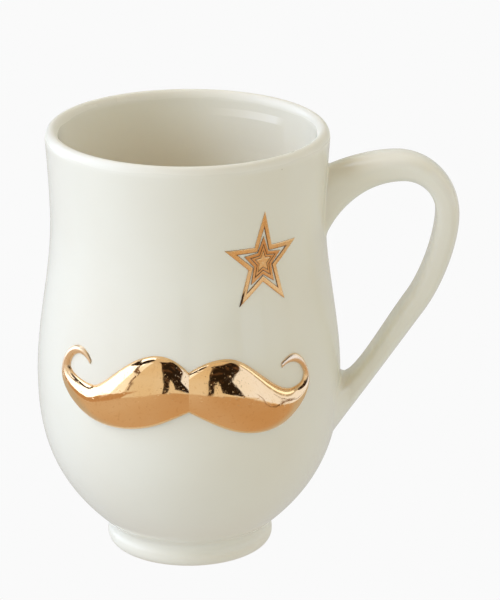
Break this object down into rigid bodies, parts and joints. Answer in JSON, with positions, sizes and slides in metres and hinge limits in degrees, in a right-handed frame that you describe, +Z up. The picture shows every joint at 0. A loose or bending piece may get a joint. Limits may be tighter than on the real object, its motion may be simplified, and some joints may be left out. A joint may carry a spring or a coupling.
{
  "type": "moustache mug",
  "caption": "Tall footed ceramic mug with a strap handle, a gilded moustache in relief across the front and a gilt nested star beside it, for hot drinks.",
  "frame": {"origin": "middle of the resting face under the foot ring, on the cup's axis", "axes": "+Z up along the cup's axis, +X towards the handle, -Y towards the moustache"},
  "size_m": [0.1156, 0.0865, 0.12],
  "materials": {
    "glaze": "gloss",
    "foot_glaze": "gloss",
    "gilt_relief": "polished",
    "star_gold": "polished",
    "star_brown": "satin"
  },
  "bodies": {
    "root": {"mug_body": "glaze", "foot_ring": "foot_glaze", "handle": "glaze", "moustache_left": "gilt_relief", "moustache_right": "gilt_relief", "star_outer_band": "star_gold", "star_middle_band": "star_brown", "star_inner_band": "star_brown", "star_centre": "star_gold"}
  },
  "joints": []
}
